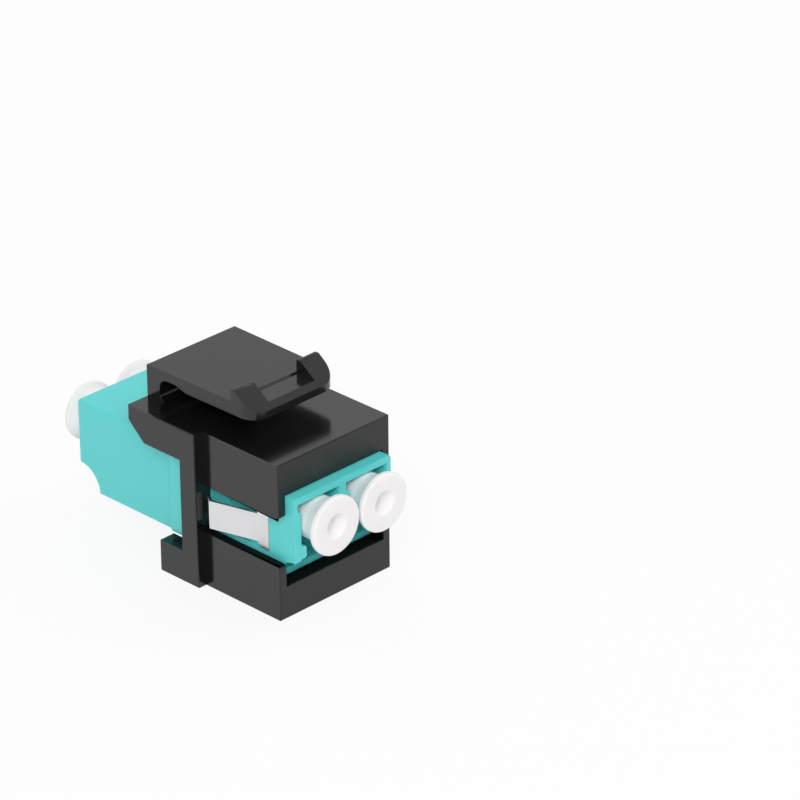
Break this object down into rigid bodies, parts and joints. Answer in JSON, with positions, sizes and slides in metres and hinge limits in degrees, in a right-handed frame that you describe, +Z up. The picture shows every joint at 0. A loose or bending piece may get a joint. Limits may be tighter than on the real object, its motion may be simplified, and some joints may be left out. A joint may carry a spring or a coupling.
{
  "type": "lc keystone coupler",
  "caption": "Duplex fibre coupler in a black snap-in keystone frame, with aqua ports, a spring clip and white pull-off dust caps.",
  "frame": {"origin": "on the plane of the flat underside, below the middle of the adapter where two plugs meet", "axes": "+X across the two ports, +Y from the panel side towards the back, +Z up towards the latch"},
  "size_m": [0.0164, 0.0344, 0.0209],
  "materials": {
    "black_plastic": "smooth moulded black plastic with a soft gloss",
    "aqua_plastic": "satin moulded aqua plastic",
    "spring_steel": "bright rolled spring steel",
    "white_plastic": "soft white moulded plastic",
    "white_ceramic": "polished white ceramic"
  },
  "bodies": {
    "coupler": {"keystone_frame": "black_plastic", "adapter_front_half": "aqua_plastic", "adapter_rear_half": "aqua_plastic", "front_sleeve_holder": "white_plastic", "rear_sleeve_holder": "white_plastic", "left_split_sleeve": "white_ceramic", "right_split_sleeve": "white_ceramic", "spring_clip": "spring_steel"},
    "front_left_cap": {"front_left_dust_cap": "white_plastic"},
    "front_right_cap": {"front_right_dust_cap": "white_plastic"},
    "rear_left_cap": {"rear_left_dust_cap": "white_plastic"},
    "rear_right_cap": {"rear_right_dust_cap": "white_plastic"}
  },
  "joints": [
    {"name": "front_left_cap_pull", "type": "slide", "parent": "coupler", "child": "front_left_cap", "axis": [0, -1, 0], "range_m": [0, 0.013]},
    {"name": "front_right_cap_pull", "type": "slide", "parent": "coupler", "child": "front_right_cap", "axis": [0, -1, 0], "range_m": [0, 0.013]},
    {"name": "rear_left_cap_pull", "type": "slide", "parent": "coupler", "child": "rear_left_cap", "axis": [0, 1, 0], "range_m": [0, 0.013]},
    {"name": "rear_right_cap_pull", "type": "slide", "parent": "coupler", "child": "rear_right_cap", "axis": [0, 1, 0], "range_m": [0, 0.013]}
  ]
}
